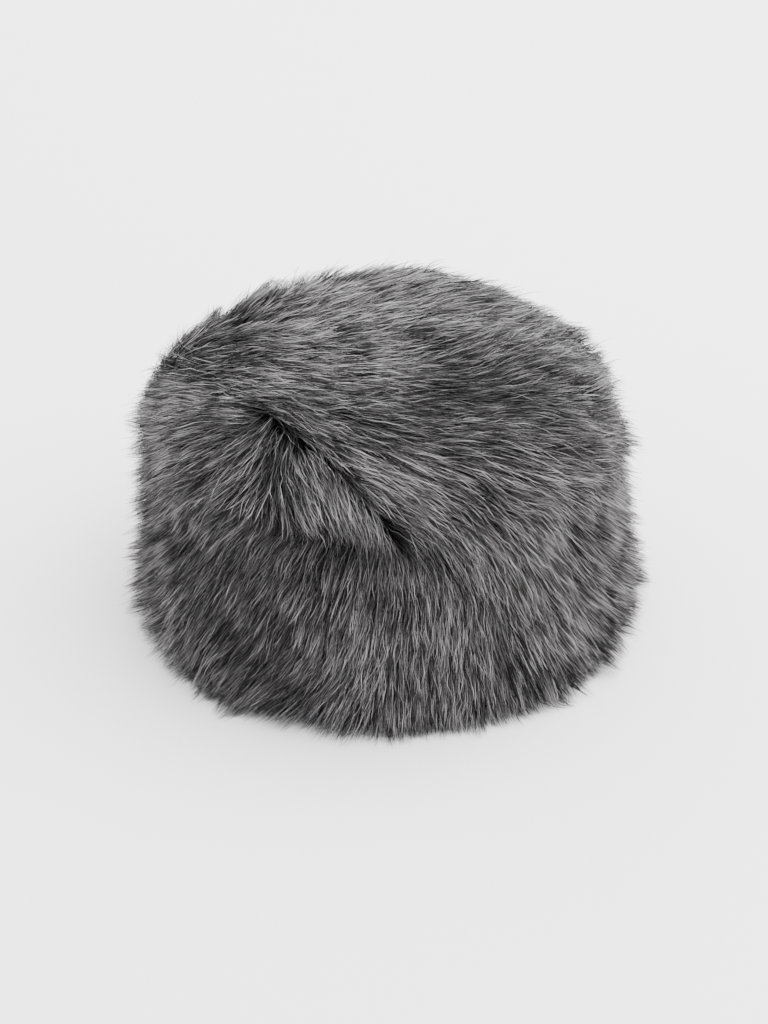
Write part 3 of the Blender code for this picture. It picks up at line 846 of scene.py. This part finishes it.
def strand_tones_and_painted_light(layer, path, wisp, depth, chance):
    """Tone along each strand: dark and pale ones mixed, painted shade deep down, paler wisps, patches with
    painted shade and sheen, and painted glints along the waves.
    """
    points = layer.steps + 1
    pale = chance.random(layer.strands) < PALE_SHARE
    pale_tones = chance.lognormal(*PALE_TONE, layer.strands)
    dark_tones = chance.lognormal(*DARK_TONE, layer.strands)
    of_wisp = chance.lognormal(0.0, WISP_TONE_SPREAD, layer.wisps)[wisp]
    # Painted shade: strands that lie deeper in the pile are darker
    painted_depth_shade = np.exp(PAINTED_DEPTH_SHADE * np.clip(depth, -DEPTH_LIMIT, DEPTH_LIMIT))
    strand_tone_and_shade = layer.bright * (np.where(pale, pale_tones, dark_tones) * of_wisp * painted_depth_shade)
    near_line = near_parting(path[:, 0], PARTING_REACH) * layer.is_crown
    by_point_with_painted_light = place_tones_and_painted_light(path.reshape(-1, 3), np.repeat(near_line, points)).reshape(layer.strands, points)
    phase = chance.uniform(0.0, 2.0 * pi, (layer.strands, 1))
    # Painted glint: brighter and darker in turn along each strand's waves
    painted_glint = 1.0 + PAINTED_GLINT * np.sin(phase + WAVE_STEP * np.arange(points)[None, :])
    return np.clip(strand_tone_and_shade[:, None] * by_point_with_painted_light, *TONE_LIMITS) * painted_glint


# Ribbons

def ribbon_corners(path, normals, width, roll):
    """Corners of tapered ribbons along the paths: two at each point, and one at the tip."""
    steps = path.shape[1] - 1
    tangent = unit(np.gradient(path, axis=1))
    flat = unit(np.cross(tangent, normals))
    stood = np.cross(flat, tangent)
    side = flat * np.cos(roll)[:, None, None] + stood * np.sin(roll)[:, None, None]
    taper = np.interp(point_shares(steps)[:steps], TAPER_SHARES, TAPER_WIDTHS)
    half = 0.5 * width[:, None] * taper[None, :]
    aside = side[:, :steps] * half[:, :, None]
    corners = np.empty((len(path), 2 * steps + 1, 3))
    corners[:, 0:-1:2] = path[:, :steps] - aside
    corners[:, 1:-1:2] = path[:, :steps] + aside
    corners[:, -1] = path[:, -1]
    return corners


def ribbon_faces(count, steps):
    """Corner numbers of the ribbons' faces, quads and then a triangle, and where each face begins in them."""
    quads = [2 * step + corner for step in range(steps - 1) for corner in (0, 1, 3, 2)]
    pattern = np.array(quads + [2 * steps - 2, 2 * steps - 1, 2 * steps])
    sizes = [4] * (steps - 1) + [3]
    begins = np.cumsum([0] + sizes[:-1])
    ribbon = np.arange(count)[:, None]
    corner_numbers = (ribbon * (2 * steps + 1) + pattern[None, :]).ravel()
    return corner_numbers, (ribbon * len(pattern) + begins[None, :]).ravel()


def ribbon_cells(count, along):
    """Places of the ribbons' corners in the bake map, where each ribbon has its own cell."""
    sides = [CELL_SIDE_MARGIN, 1.0 - CELL_SIDE_MARGIN] * (len(along) // 2) + [0.5]
    ends = CELL_END_MARGIN + (1.0 - 2.0 * CELL_END_MARGIN) * along
    row, column = np.divmod(np.arange(count), MAP_SIZE // CELL_WIDTH)
    u = (column[:, None] + np.array(sides)[None, :]) * CELL_WIDTH / MAP_SIZE
    v = (row[:, None] + ends[None, :]) * CELL_HEIGHT / MAP_SIZE
    return np.stack([u, v], 2).reshape(-1, 2)


def ribbon_mesh(name, path, normals, width, roll, tone_and_painted_light):
    """A mesh of tapered ribbons along the paths, with how far along each corner is and its tone, painted
    light and shade included.
    """
    count = len(path)
    steps = path.shape[1] - 1
    corners = ribbon_corners(path, normals, width, roll)
    corner_numbers, face_begins = ribbon_faces(count, steps)
    along = np.concatenate([np.repeat(point_shares(steps)[:-1], 2), [1.0]])
    cells = ribbon_cells(count, along)
    corner_tones_and_light = np.concatenate([np.repeat(tone_and_painted_light[:, :steps], 2, axis=1), tone_and_painted_light[:, steps:]], axis=1)

    mesh = bpy.data.meshes.new(name)
    mesh.vertices.add(count * len(along))
    mesh.vertices.foreach_set("co", corners.astype(np.float32).ravel())
    mesh.loops.add(len(corner_numbers))
    mesh.loops.foreach_set("vertex_index", corner_numbers.astype(np.int32))
    mesh.polygons.add(count * steps)
    mesh.polygons.foreach_set("loop_start", face_begins.astype(np.int32))
    mesh.update(calc_edges=True)
    mesh.polygons.foreach_set("use_smooth", np.ones(count * steps, dtype=bool))
    uv_layer = mesh.uv_layers.new(name="OFBake")
    uv_layer.data.foreach_set("uv", cells[corner_numbers].astype(np.float32).ravel())
    for label, values in (("along", np.tile(along, count)), ("tone_and_painted_light", corner_tones_and_light)):
        attribute = mesh.attributes.new(label, "FLOAT", "POINT")
        attribute.data.foreach_set("value", values.astype(np.float32).ravel())
    return mesh


# Materials

def new_material(name, roughness):
    """A new material, its node tree and its shader."""
    material = bpy.data.materials.new(name)
    material.use_nodes = True
    shader = material.node_tree.nodes["Principled BSDF"]
    shader.inputs["Roughness"].default_value = roughness
    return material, material.node_tree, shader


def add_attribute(tree, name):
    """Socket with a value that a mesh has at each point."""
    attribute = tree.nodes.new("ShaderNodeAttribute")
    attribute.attribute_name = name
    return attribute.outputs["Fac"]


def add_noise(tree, scale):
    """A fine noise texture over a piece."""
    noise = tree.nodes.new("ShaderNodeTexNoise")
    noise.inputs["Scale"].default_value = scale
    return noise


def add_ramp(tree, value, low, high):
    """A colour ramp over a value, from a low to a high colour."""
    ramp = tree.nodes.new("ShaderNodeValToRGB")
    ramp.color_ramp.elements[0].color = (*low, 1.0)
    ramp.color_ramp.elements[1].color = (*high, 1.0)
    tree.links.new(value, ramp.inputs["Fac"])
    return ramp


def fur_material():
    """Grey fur: dark at the root, partly as painted shade, pale at the tip, and each strand a little
    different, its tone carrying painted shade, sheen and glints.
    """
    material, tree, shader = new_material("fur_strands", FUR_ROUGHNESS)
    ramp = add_ramp(tree, add_attribute(tree, "along"), ROOT_COLOUR_AND_SHADE, TIP_COLOUR)
    ramp.color_ramp.elements[0].position = ROOT_END
    ramp.color_ramp.elements.new(MIDDLE_PLACE).color = (*MIDDLE_COLOUR, 1.0)
    toned = tree.nodes.new("ShaderNodeVectorMath")
    toned.operation = "SCALE"
    tree.links.new(ramp.outputs["Color"], toned.inputs[0])
    tree.links.new(add_attribute(tree, "tone_and_painted_light"), toned.inputs["Scale"])
    tree.links.new(toned.outputs["Vector"], shader.inputs["Base Color"])
    shader.inputs["Specular IOR Level"].default_value = FUR_SPECULAR
    return material


def underfur_and_shade_material():
    """Dense underfur deep between the strands, near black: partly its own dark colour and partly painted
    shade.
    """
    material, tree, shader = new_material("underfur", UNDERFUR_ROUGHNESS)
    noise = add_noise(tree, UNDERFUR_GRAIN)
    ramp = add_ramp(tree, noise.outputs["Fac"], *UNDERFUR_COLOURS_AND_SHADE)
    tree.links.new(ramp.outputs["Color"], shader.inputs["Base Color"])
    shader.inputs["Specular IOR Level"].default_value = FUR_SPECULAR
    return material


def hide_material():
    """Suede side of the hide, with a fine nap."""
    material, tree, shader = new_material("hide_suede", HIDE_ROUGHNESS)
    noise = add_noise(tree, HIDE_GRAIN)
    noise.inputs["Detail"].default_value = HIDE_GRAIN_DETAIL
    ramp = add_ramp(tree, noise.outputs["Fac"], *HIDE_COLOURS)
    bump = tree.nodes.new("ShaderNodeBump")
    bump.inputs["Distance"].default_value = HIDE_NAP_DEPTH
    bump.inputs["Strength"].default_value = HIDE_NAP_STRENGTH
    tree.links.new(ramp.outputs["Color"], shader.inputs["Base Color"])
    tree.links.new(noise.outputs["Fac"], bump.inputs["Height"])
    tree.links.new(bump.outputs["Normal"], shader.inputs["Normal"])
    return material


# Pieces

def link(piece):
    """A piece put into the scene."""
    bpy.context.scene.collection.objects.link(piece)
    return piece


def add_coat_piece(name, mesh, node, material):
    """A piece of the coat, in place of a solid one."""
    mesh.materials.append(material)
    piece = link(bpy.data.objects.new(name, mesh))
    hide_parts(node)
    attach(piece, "root")


def add_fur(layer, material):
    """One layer of fur, split round the hat into pieces so that none is too heavy."""
    chance = np.random.default_rng(layer.seed)
    wisps = grow_wisps(layer, grow_locks(layer), chance)
    path, normals, wisp, depth = grow_strands(layer, wisps, chance)
    width = layer.width * chance.uniform(*WIDTHS, layer.strands)
    roll = chance.normal(0.0, ROLL_SPREAD, layer.strands)
    tone_and_painted_light = strand_tones_and_painted_light(layer, path, wisp, depth, chance)
    order = np.argsort(np.arctan2(path[:, 0, 1], path[:, 0, 0]))
    for number, chosen in enumerate(np.array_split(order, layer.parts)):
        name = f"{layer.name}_{number + 1}"
        mesh = ribbon_mesh(name, path[chosen], normals[chosen], width[chosen], roll[chosen], tone_and_painted_light[chosen])
        add_coat_piece(name, mesh, layer.node, material)


def add_underfur(name, node, profile, material):
    """Turned body of dense underfur under the strands: (radius, height) rows, closed round."""
    around = [2 * pi * number / UNDERFUR_SIDES for number in range(UNDERFUR_SIDES)]
    points = [(radius * cos(angle), radius * sin(angle), height)
              for radius, height in profile for angle in around]
    faces = []
    for ring in range(len(profile)):
        here = ring * UNDERFUR_SIDES
        below = (ring + 1) % len(profile) * UNDERFUR_SIDES
        for side in range(UNDERFUR_SIDES):
            after = (side + 1) % UNDERFUR_SIDES
            faces.append((here + side, below + side, below + after, here + after))
    mesh = bpy.data.meshes.new(name)
    mesh.from_pydata(points, [], faces)
    mesh.shade_smooth()
    add_coat_piece(name, mesh, node, material)


def add_underfurs():
    """The underfur of the side, from the hide out, and that of the crown, down to the top of both hides."""
    material = underfur_and_shade_material()
    inner = HIDE_RADIUS + UNDERFUR_HIDE_GAP
    shelf = WALL_TOP - UNDERFUR_SEAM_GAP
    heights = np.linspace(shelf, HEM_ROOT_HEIGHT, UNDERFUR_WALL_ROWS)
    side = [(float(side_radius(height)) - UNDERFUR_DEPTH, float(height)) for height in heights]
    add_underfur("side_underfur", "band_fur", [(inner, shelf)] + side + [(inner, HEM_ROOT_HEIGHT)], material)

    radii = np.linspace(UNDERFUR_AXIS_GAP, SHOULDER_RADIUS * UNDERFUR_DOME_EDGE, UNDERFUR_DOME_ROWS)
    shrink = 1.0 - UNDERFUR_DEPTH / SHOULDER_RADIUS
    dome = [(float(radius) * shrink, float(dome_height(radius)) - UNDERFUR_DEPTH) for radius in radii]
    floor = CROWN_HIDE_TOP + UNDERFUR_SEAM_GAP
    base = [(dome[-1][0], WALL_TOP), (inner, WALL_TOP), (inner, floor), (UNDERFUR_AXIS_GAP, floor)]
    add_underfur("crown_underfur", "crown_fur", dome + base, material)


def add_studio():
    """Pale floor, even light from all round, and two soft lamps."""
    floor_material, _, shader = new_material("studio_floor", FLOOR_ROUGHNESS)
    shader.inputs["Base Color"].default_value = (*FLOOR_COLOUR, 1.0)
    bpy.ops.mesh.primitive_plane_add(size=FLOOR_SIZE, location=(0.0, 0.0, 0.0))
    floor = bpy.context.object
    floor.name = "studio_floor"
    floor.data.materials.append(floor_material)

    world = bpy.data.worlds.new("studio")
    world.use_nodes = True
    background = world.node_tree.nodes["Background"]
    background.inputs["Color"].default_value = (1.0, 1.0, 1.0, 1.0)
    background.inputs["Strength"].default_value = WORLD_STRENGTH
    bpy.context.scene.world = world

    for light in LIGHTS:
        data = bpy.data.lights.new(light.name, "AREA")
        data.size = light.size
        data.energy = light.power
        lamp = link(bpy.data.objects.new(light.name, data))
        lamp.location = light.place
        lamp.rotation_euler = (Vector(LIGHT_AIM) - lamp.location).to_track_quat("-Z", "Y").to_euler()


def add_camera():
    """Camera at the photo's angle, in front of the hat and above it."""
    camera = bpy.data.cameras.new("camera")
    camera.lens = CAMERA_LENS
    camera.sensor_width = CAMERA_SENSOR
    holder = link(bpy.data.objects.new("camera", camera))
    back = Vector((0.0, -cos(CAMERA_ELEVATION), sin(CAMERA_ELEVATION)))
    holder.location = Vector(CAMERA_AIM) + back * CAMERA_DISTANCE
    holder.rotation_euler = (-back).to_track_quat("-Z", "Y").to_euler()
    bpy.context.scene.camera = holder


def main():
    """The whole scene: camera, studio, hide and coat."""
    add_camera()
    add_studio()
    hide = hide_material()
    for node in ("band_hide", "crown_hide"):
        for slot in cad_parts[node].material_slots:
            slot.material = hide
    add_underfurs()
    fur = fur_material()
    for layer in LAYERS:
        add_fur(layer, fur)


main()
